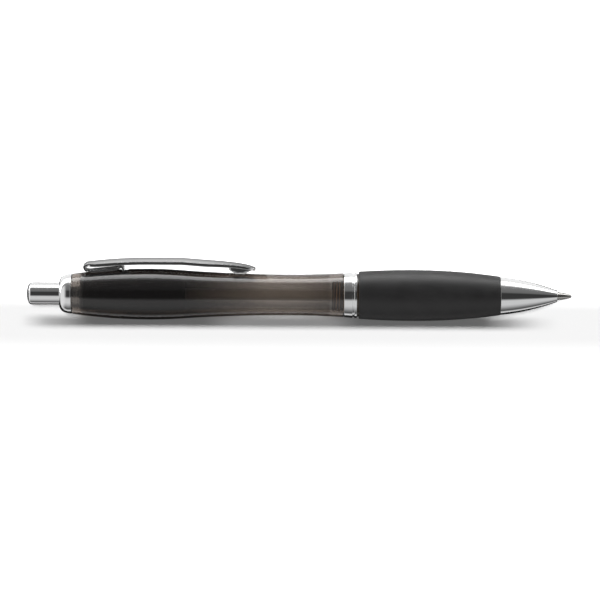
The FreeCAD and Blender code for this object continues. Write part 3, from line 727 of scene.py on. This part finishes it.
def strap_height(x):
    """Crest of the strap: a parabola up to the straight stretch, and beyond it a fall that steepens with the
    sixth power of the way to the free end."""
    from_rear = x - clip_rear_x
    rise = np.clip(1 - from_rear / top_from_rear, 0, 1)
    rear_height = leaf_rear_height + 2 * fold_radius
    level_end = top_from_rear + straight_length
    fall = np.clip((from_rear - level_end) / (clip_front_x - clip_rear_x - level_end), 0, 1)
    return top_height - (top_height - rear_height) * rise ** 2 - (top_height - end_height) * (
        0.6 * fall + 0.4 * fall ** 6)


strap_x = clip_front_x - (clip_front_x - fold_x) * np.linspace(0, 1, 120) ** 1.15
strap_line = np.stack([strap_x, strap_height(strap_x) - strap_thickness / 2], axis=1)
fold_swing = np.linspace(0, math.pi, 22)[1:-1]
fold_middle = leaf_rear_height + fold_radius
fold_bend = np.linspace(fold_radius - strap_thickness / 2, fold_radius - leaf_thickness / 2, 20)
fold_line = np.stack([
    fold_x - fold_bend * np.sin(fold_swing),
    fold_middle + fold_bend * np.cos(fold_swing),
], axis=1)
leaf_x = np.linspace(fold_x, leaf_end_x - 0.6 * mm, 24)
leaf_line = np.stack([
    leaf_x, leaf_front_height - leaf_rise * (leaf_end_x - leaf_x) / leaf_length + leaf_thickness / 2], axis=1)
hook_share = np.linspace(0, 1, 14)[1:]
hook_line = np.stack([
    leaf_line[-1, 0] + 0.85 * mm * hook_share ** 0.75,
    leaf_line[-1, 1] - (hook_depth + 0.1 * mm) * hook_share ** 1.9,
], axis=1)
spine = np.concatenate([strap_line, fold_line, leaf_line, hook_line])

way = np.concatenate([[0], np.cumsum(np.linalg.norm(np.diff(spine, axis=0), axis=1))])
strap_length = way[len(strap_line) - 1]
heading = np.gradient(spine, way, axis=0)
heading /= np.linalg.norm(heading, axis=1, keepdims=True)
lift = np.stack([heading[:, 1], -heading[:, 0]], axis=1)
tip_share = np.clip(way / (2.6 * mm), 0, 1)
tip_round = np.sqrt(np.clip(1 - (1 - tip_share) ** 2, 0, 1))
to_fold = np.clip(way / strap_length, 0, 1)
narrowing = np.clip((to_fold - 0.72) / 0.28, 0, 1)
front_taper = np.clip(1 - to_fold / 0.45, 0, 1)
strap_taper = 1 - 0.18 * narrowing ** 2 - 0.22 * front_taper ** 2
half_width = strap_half_width * strap_taper * (0.35 + 0.65 * tip_round)
half_width = np.where(way > strap_length, leaf_half_width, half_width)
half_width[0] = 0.2 * mm
crown = strap_crown * (1 - 0.6 * narrowing ** 8) * (0.3 + 0.7 * np.clip(to_fold / 0.3, 0, 1))
leaf_start, leaf_stop = way[len(strap_line) + len(fold_line)], way[-len(hook_line) - 1]
fold_fade = 0.4 * strap_crown * np.clip((leaf_start - way) / (leaf_start - strap_length), 0, 1)
leaf_share = np.clip((way - leaf_start) / (1.5 * mm), 0, 1) * np.clip((leaf_stop - way) / (1.2 * mm), 0, 1)
crown = np.where(way > strap_length, fold_fade - leaf_crown * leaf_share, crown)
fold_share = np.clip((way - strap_length) / (2 * mm), 0, 1)
thickness = strap_thickness + fold_share * (leaf_thickness - strap_thickness)
thickness = thickness * (0.5 + 0.5 * tip_round)

# Round the section, in halves of the thickness: how far a point stands out sideways and up from the sheet's
# middle. The edge is flat between two rounded corners.
corner_swing = np.linspace(0, math.pi / 2, 5)
corner_out = np.concatenate([[0.72], 0.78 + 0.22 * np.sin(corner_swing), [1.0]])
corner_up = np.concatenate([[1.0], 0.78 + 0.22 * np.cos(corner_swing), [0.72]])
edge_out = np.concatenate([corner_out, corner_out[::-1]])
edge_up = np.concatenate([corner_up, -corner_up[::-1]])
across = np.concatenate([np.linspace(-1, 1, 21), np.ones(14), np.linspace(1, -1, 21), -np.ones(14)])
stand_out = np.concatenate([np.zeros(21), edge_out, np.zeros(21), -edge_out])
stand_up = np.concatenate([np.ones(21), edge_up, -np.ones(21), -edge_up])


def strip(line, lift, half_width, crown, thickness):
    """Crowned strip carried along a line. Across it, the middle of the sheet lies at across * half width and
    falls by crown * across^2; the skin stands off it by half the thickness, round the edges as well."""
    slope = 2 * crown[:, None] * across / half_width[:, None] * (1 - np.abs(stand_out))
    square = 1 / np.sqrt(1 + slope ** 2)
    reach = thickness[:, None] / 2
    up_part = reach * square * (stand_up - stand_out * slope)
    side_part = reach * square * (stand_up * slope + stand_out)
    sideways = (half_width[:, None] - reach) * across + side_part
    upward = up_part - crown[:, None] * across ** 2
    x = line[:, :1] + lift[:, :1] * upward
    height = line[:, 1:] + lift[:, 1:] * upward
    return place(x, sideways, height)


def capped(points):
    """Grid with a row at each end drawn together to its middle, which closes the ends."""
    first = np.broadcast_to(points[:1].mean(axis=1, keepdims=True), points[:1].shape)
    last = np.broadcast_to(points[-1:].mean(axis=1, keepdims=True), points[-1:].shape)
    return np.concatenate([first, points, last])


strap = capped(strip(spine, lift, half_width, crown, thickness))

bead_half_width = 1.5 * mm
bead_front_x = clip_front_x - 0.8 * mm
bead_low_front_x = clip_front_x - 3.0 * mm
bead_low_rear_x = clip_front_x - 5.2 * mm
bead_rear_x = bead_low_rear_x - 1.9 * mm
bead_touch = barrel_radius(np.array([bead_low_rear_x]))[0] + 0.04 * mm
bead_inside = 0.48 * mm


def strap_inside(x):
    """Height within the strap's thickness, where the bead's roots are."""
    return float(strap_height(np.array([x]))[0]) - bead_inside


bead_outline = rounded([
    (bead_rear_x, strap_inside(bead_rear_x), 0),
    (bead_rear_x + 0.1 * mm, bead_touch + 0.85 * mm, 0.6 * mm),
    (bead_low_rear_x, bead_touch, 0.6 * mm),
    (bead_low_front_x, bead_touch, 0.8 * mm),
    (bead_front_x, strap_inside(bead_front_x) - 0.45 * mm, 0.1 * mm),
    (bead_front_x, strap_inside(bead_front_x), 0),
])
bead_middle = bead_outline.mean(axis=0)
bead_swing = np.linspace(-1, 1, 17) * math.pi / 2
bead_fill = 1 - 0.22 * (1 - np.cos(bead_swing) ** 0.5)
bead_side = bead_half_width * np.sin(bead_swing)
bead_lines = bead_middle + (bead_outline[None] - bead_middle) * bead_fill[:, None, None]
bead_sag = barrel_waist[1] - np.sqrt(barrel_waist[1] ** 2 - bead_side ** 2)
bead_low = bead_lines[..., 1] < bead_touch + 0.5 * mm
bead_lines[..., 1] -= bead_low * bead_sag[:, None]
bead = capped(place(bead_lines[..., 0], bead_side[:, None] + 0 * bead_lines[..., 0], bead_lines[..., 1]))
clip = solid("clip_strap", [sheet(strap), sheet(bead)], crease=50)
dress(clip, chrome, "chrome_plate", "barrel", "clip")


# Table and studio: the pen lies on white paper, with a soft lamp on the clip's side. Cards on the table and
# grey bands overhead are what the plating mirrors. A strip of gauze over the far side only throws a shadow,
# because the photo's shadow is one straight soft bar.

floor_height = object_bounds()[0][2]
floor_size = 3.0


def plane(name, x, y, z):
    """Level rectangle between two x and two y stations at height z, facing up."""
    grid = np.stack(np.meshgrid(np.array(x), np.array(y), indexing="ij"), axis=-1)
    points = np.concatenate([grid, np.full(grid.shape[:2] + (1,), z)], axis=-1)
    flat, quads = sheet(points, closed_around=False)
    mesh = bpy.data.meshes.new(name)
    mesh.from_pydata(flat.tolist(), [], quads.tolist())
    thing = bpy.data.objects.new(name, mesh)
    bpy.context.scene.collection.objects.link(thing)
    return thing


floor = plane("paper_floor", (-floor_size, floor_size), (-floor_size, floor_size), floor_height - 0.01 * mm)
paper = bpy.data.materials.new("white paper")
paper.use_nodes = True
paper_nodes, paper_links = paper.node_tree.nodes, paper.node_tree.links
paper_nodes.clear()
paper_output = paper_nodes.new("ShaderNodeOutputMaterial")
paper_diffuse = paper_nodes.new("ShaderNodeBsdfDiffuse")
paper_noise = paper_nodes.new("ShaderNodeTexNoise")
paper_noise.inputs["Scale"].default_value = 900
paper_ramp = paper_nodes.new("ShaderNodeValToRGB")
paper_ramp.color_ramp.elements[0].color = (0.855, 0.855, 0.855, 1)
paper_ramp.color_ramp.elements[1].color = (0.865, 0.865, 0.865, 1)
paper_links.new(paper_nodes.new("ShaderNodeTexCoord").outputs["Object"], paper_noise.inputs["Vector"])
paper_links.new(paper_noise.outputs["Fac"], paper_ramp.inputs["Fac"])
paper_links.new(paper_ramp.outputs["Color"], paper_diffuse.inputs["Color"])
# Painted light on the paper: seen by the camera or through the barrel, it glows on top of its lit colour. Seen
# directly, the glow is full on the clip's side right up to the pen, which paints out the pen's contact shade
# there. It falls to nothing over the strip of the far side's shadow, and is 0.2 further out. Seen through the
# barrel, it glows at 0.8 from under the pen to the clip's side, over the pen's own shadow.
paper_glow = paper_nodes.new("ShaderNodeEmission")
paper_split = paper_nodes.new("ShaderNodeSeparateXYZ")
paper_links.new(paper_nodes.new("ShaderNodeTexCoord").outputs["Object"], paper_split.inputs["Vector"])
paper_share = paper_nodes.new("ShaderNodeMapRange")
paper_share.inputs["From Min"].default_value = -30 * mm
paper_share.inputs["From Max"].default_value = 10 * mm
paper_links.new(paper_split.outputs["Y"], paper_share.inputs["Value"])
painted_glow_ramp = paper_nodes.new("ShaderNodeValToRGB")
painted_glow_ramp.color_ramp.interpolation = "EASE"
paper_stops = painted_glow_ramp.color_ramp.elements
paper_stops[0].position, paper_stops[0].color = 0.08, (0.20, 0.20, 0.20, 1)
paper_stops[1].position, paper_stops[1].color = 0.29, (0.0, 0.0, 0.0, 1)
paper_stops.new(0.50).color = (0.0, 0.0, 0.0, 1)
paper_stops.new(0.74).color = (1.0, 1.0, 1.0, 1)
paper_links.new(paper_share.outputs["Result"], painted_glow_ramp.inputs["Fac"])
seen = paper_nodes.new("ShaderNodeLightPath")
painted_glow_under_pen = paper_nodes.new("ShaderNodeValToRGB")
painted_glow_under_pen.color_ramp.elements[0].position = 0.42
painted_glow_under_pen.color_ramp.elements[1].position = 0.54
painted_glow_under_pen.color_ramp.elements[1].color = (0.8, 0.8, 0.8, 1)
paper_links.new(paper_share.outputs["Result"], painted_glow_under_pen.inputs["Fac"])
paper_through = paper_nodes.new("ShaderNodeMix")
paper_through.data_type = "RGBA"
paper_links.new(painted_glow_under_pen.outputs["Color"], paper_through.inputs["B"])
paper_links.new(seen.outputs["Is Transmission Ray"], paper_through.inputs["Factor"])
paper_links.new(painted_glow_ramp.outputs["Color"], paper_through.inputs["A"])
paper_links.new(paper_through.outputs["Result"], paper_glow.inputs["Color"])
seen_all = paper_nodes.new("ShaderNodeMath")
seen_all.operation = "MAXIMUM"
paper_links.new(seen.outputs["Is Camera Ray"], seen_all.inputs[0])
paper_links.new(seen.outputs["Is Transmission Ray"], seen_all.inputs[1])
nothing = paper_nodes.new("ShaderNodeEmission")
nothing.inputs["Strength"].default_value = 0.0
glow_if_seen = paper_nodes.new("ShaderNodeMixShader")
paper_links.new(seen_all.outputs["Value"], glow_if_seen.inputs["Fac"])
paper_links.new(nothing.outputs["Emission"], glow_if_seen.inputs[1])
paper_links.new(paper_glow.outputs["Emission"], glow_if_seen.inputs[2])
paper_sum = paper_nodes.new("ShaderNodeAddShader")
paper_links.new(paper_diffuse.outputs["BSDF"], paper_sum.inputs[0])
paper_links.new(glow_if_seen.outputs["Shader"], paper_sum.inputs[1])
paper_links.new(paper_sum.outputs["Shader"], paper_output.inputs["Surface"])
floor.data.materials.append(paper)


def card(name, x, y, z, near, far, near_value, far_value):
    """Glowing sheet beside the pen, seen only in glossy surfaces: a painted reflection of the table. It glows
    from near_value at near to far_value at far along y."""
    thing = plane(name, x, y, z)
    thing.visible_camera = False
    thing.visible_diffuse = False
    thing.visible_transmission = False
    thing.visible_shadow = False
    thing.visible_volume_scatter = False
    grey = bpy.data.materials.new(name)
    grey.use_nodes = True
    nodes, links = grey.node_tree.nodes, grey.node_tree.links
    nodes.clear()
    output = nodes.new("ShaderNodeOutputMaterial")
    glow = nodes.new("ShaderNodeEmission")
    split = nodes.new("ShaderNodeSeparateXYZ")
    links.new(nodes.new("ShaderNodeTexCoord").outputs["Object"], split.inputs["Vector"])
    fade = nodes.new("ShaderNodeMapRange")
    fade.inputs["From Min"].default_value = near
    fade.inputs["From Max"].default_value = far
    fade.inputs["To Min"].default_value = near_value
    fade.inputs["To Max"].default_value = far_value
    links.new(split.outputs["Y"], fade.inputs["Value"])
    links.new(fade.outputs["Result"], glow.inputs["Strength"])
    links.new(glow.outputs["Emission"], output.inputs["Surface"])
    thing.data.materials.append(grey)
    return thing


# Painted reflections of the table: the bright card glows brighter than the paper beyond the clip's side, and
# the near grey card fades that to grey. The far side's sheet, nearly black, is painted shade of the paper
# under and beside the pen, and the clip's sheet is painted shade of the paper under the clip.
card_reach = (-1.0, 1.0)
card_height = floor_height + 0.1 * mm
bright_near, bright_far = 0.0115, 0.0265
dark_edge = 0.0025
clip_card_near, clip_card_far = 0.0045, 0.0132
card("bright_card", card_reach, (bright_near, bright_far), card_height, bright_near, bright_far, 5.0, 3.0)
card("grey_card_near", card_reach, (bright_far, 1.0), card_height, bright_far, 0.062, 0.9, 0.22)
card("painted_shade_card_far", card_reach, (-1.0, dark_edge), card_height, dark_edge, -0.01, 0.05, 0.02)
card("painted_shade_card_clip", (-0.128, -0.079), (clip_card_near, clip_card_far), floor_height + 0.2 * mm,
     clip_card_near + 2 * mm, clip_card_far, 0.2, 0.75)

flag_rear_x, flag_front_x = -0.145, 0.003
flag = plane("shadow_flag", (flag_rear_x, flag_front_x), (-9.0 * mm, -5.5 * mm), 2.0 * mm)
flag.visible_camera = False
flag.visible_diffuse = False
flag.visible_glossy = False
flag.visible_transmission = False
flag_gauze = bpy.data.materials.new("flag gauze")
flag_gauze.use_nodes = True
flag_nodes, flag_links = flag_gauze.node_tree.nodes, flag_gauze.node_tree.links
flag_nodes.clear()
flag_output = flag_nodes.new("ShaderNodeOutputMaterial")
flag_clear = flag_nodes.new("ShaderNodeBsdfTransparent")
flag_split = flag_nodes.new("ShaderNodeSeparateXYZ")
flag_links.new(flag_nodes.new("ShaderNodeTexCoord").outputs["Object"], flag_split.inputs["Vector"])
flag_share = flag_nodes.new("ShaderNodeMapRange")
flag_share.inputs["From Min"].default_value = flag_rear_x
flag_share.inputs["From Max"].default_value = flag_front_x
flag_links.new(flag_split.outputs["X"], flag_share.inputs["Value"])
flag_ramp = flag_nodes.new("ShaderNodeValToRGB")

# The gauze's stations along the pen in millimetres, each with the share of light that it lets through
gauze = [
    (-144, 1.0), (-137, 0.40), (-131, 0.2), (-126, 0.0), (-96, 0.0), (-88, 0.15), (-62, 0.15),
    (-55, 0.0), (-22, 0.0), (-16, 0.28), (-11, 0.62), (-7, 0.86), (-2, 1.0),
]
flag_stops = flag_ramp.color_ramp.elements
for number, (x, clear) in enumerate(gauze):
    position = (x * mm - flag_rear_x) / (flag_front_x - flag_rear_x)
    stop = flag_stops[0] if number == 0 else flag_stops.new(position)
    stop.position = position
    stop.color = (clear, clear, clear, 1)
flag_stops.remove(flag_stops[-1])
flag_links.new(flag_share.outputs["Result"], flag_ramp.inputs["Fac"])
flag_links.new(flag_ramp.outputs["Color"], flag_clear.inputs["Color"])
flag_links.new(flag_clear.outputs["BSDF"], flag_output.inputs["Surface"])
flag.data.materials.append(flag_gauze)

degrees_above_table = 52
lamp_data = bpy.data.lights.new("soft_lamp", "SUN")
lamp_data.energy = 3.6
lamp_data.angle = 0.16
lamp = bpy.data.objects.new("soft_lamp", lamp_data)
lamp.rotation_euler = (math.radians(degrees_above_table - 90), 0, 0)
lamp.visible_glossy = False
lamp.visible_transmission = False
bpy.context.scene.collection.objects.link(lamp)

world = bpy.data.worlds.new("studio")
bpy.context.scene.world = world
world.use_nodes = True
sky, sky_links = world.node_tree.nodes, world.node_tree.links
sky.clear()
sky_output = sky.new("ShaderNodeOutputWorld")
sky_light = sky.new("ShaderNodeBackground")
sky_white = sky.new("ShaderNodeBackground")
sky_split = sky.new("ShaderNodeSeparateXYZ")
sky_links.new(sky.new("ShaderNodeTexCoord").outputs["Generated"], sky_split.inputs["Vector"])
sky_turn = sky.new("ShaderNodeMath")
sky_turn.operation = "ARCTAN2"
sky_links.new(sky_split.outputs["Z"], sky_turn.inputs[0])
sky_links.new(sky_split.outputs["Y"], sky_turn.inputs[1])
sky_share = sky.new("ShaderNodeMapRange")
sky_share.inputs["From Min"].default_value = 0.0
sky_share.inputs["From Max"].default_value = math.pi
sky_links.new(sky_turn.outputs["Value"], sky_share.inputs["Value"])
sky_ramp = sky.new("ShaderNodeValToRGB")

# The bands overhead: degrees up from the clip's side of the table to its far side, each with a brightness
bands = [
    (0, 0.20), (30, 0.15), (39, 0.04), (72, 0.045), (80, 0.40), (86, 0.66), (112, 0.66),
    (126, 0.48), (142, 0.22), (158, 0.06), (180, 0.02),
]
stops = sky_ramp.color_ramp.elements
for number, (angle, grey_value) in enumerate(bands):
    stop = stops[0] if number == 0 else stops.new(angle / 180)
    stop.position = angle / 180
    stop.color = (grey_value, grey_value, grey_value, 1)
stops.remove(stops[-1])
sky_links.new(sky_share.outputs["Result"], sky_ramp.inputs["Fac"])
sky_end = sky.new("ShaderNodeMapRange")
sky_end.interpolation_type = "SMOOTHSTEP"
sky_end.inputs["From Min"].default_value = -0.35
sky_end.inputs["From Max"].default_value = -0.75
sky_links.new(sky_split.outputs["X"], sky_end.inputs["Value"])
sky_mix = sky.new("ShaderNodeMix")
sky_mix.data_type = "RGBA"
sky_links.new(sky_end.outputs["Result"], sky_mix.inputs["Factor"])
sky_links.new(sky_ramp.outputs["Color"], sky_mix.inputs["A"])
sky_mix.inputs["B"].default_value = (0.8, 0.8, 0.8, 1)
sky_links.new(sky_mix.outputs["Result"], sky_light.inputs["Color"])
sky_matt = sky.new("ShaderNodeBackground")
sky_matt.inputs["Color"].default_value = (0.17, 0.17, 0.17, 1)
sky_path = sky.new("ShaderNodeLightPath")
sky_lit = sky.new("ShaderNodeMixShader")
sky_links.new(sky_path.outputs["Is Diffuse Ray"], sky_lit.inputs["Fac"])
sky_links.new(sky_light.outputs["Background"], sky_lit.inputs[1])
sky_links.new(sky_matt.outputs["Background"], sky_lit.inputs[2])
sky_either = sky.new("ShaderNodeMixShader")
sky_links.new(sky_path.outputs["Is Camera Ray"], sky_either.inputs["Fac"])
sky_links.new(sky_lit.outputs["Shader"], sky_either.inputs[1])
sky_links.new(sky_white.outputs["Background"], sky_either.inputs[2])
sky_white.inputs["Color"].default_value = (1, 1, 1, 1)
sky_links.new(sky_either.outputs["Shader"], sky_output.inputs["Surface"])


# Camera: it looks down on the pen from the clip's side, with the strap seen edge on at the top of the
# picture, as in the photograph.

lean = math.radians(83)
over = np.array([0.0, -out[2], out[1]])
toward = math.cos(lean) * out + math.sin(lean) * over
image_up = math.sin(lean) * out - math.cos(lean) * over
tilt = math.radians(0.31)
right = math.cos(tilt) * along + math.sin(tilt) * image_up
top = -math.sin(tilt) * along + math.cos(tilt) * image_up
target = -70.4 * mm * along - 1.34 * mm * top
camera_distance = 0.8
frame_width = 155.46 * mm

camera_data = bpy.data.cameras.new("camera")
camera_data.sensor_width = 36
camera_data.lens = 36 * camera_distance / frame_width
camera_data.clip_start = 0.01
camera_data.clip_end = 10
camera = bpy.data.objects.new("camera", camera_data)
turned_axes = np.eye(4)
turned_axes[:3, 0], turned_axes[:3, 1], turned_axes[:3, 2] = right, top, toward
turned_axes[:3, 3] = target + camera_distance * toward
camera.matrix_world = Matrix(turned_axes.tolist())
bpy.context.scene.collection.objects.link(camera)
bpy.context.scene.camera = camera
bpy.context.scene.view_settings.view_transform = "Standard"
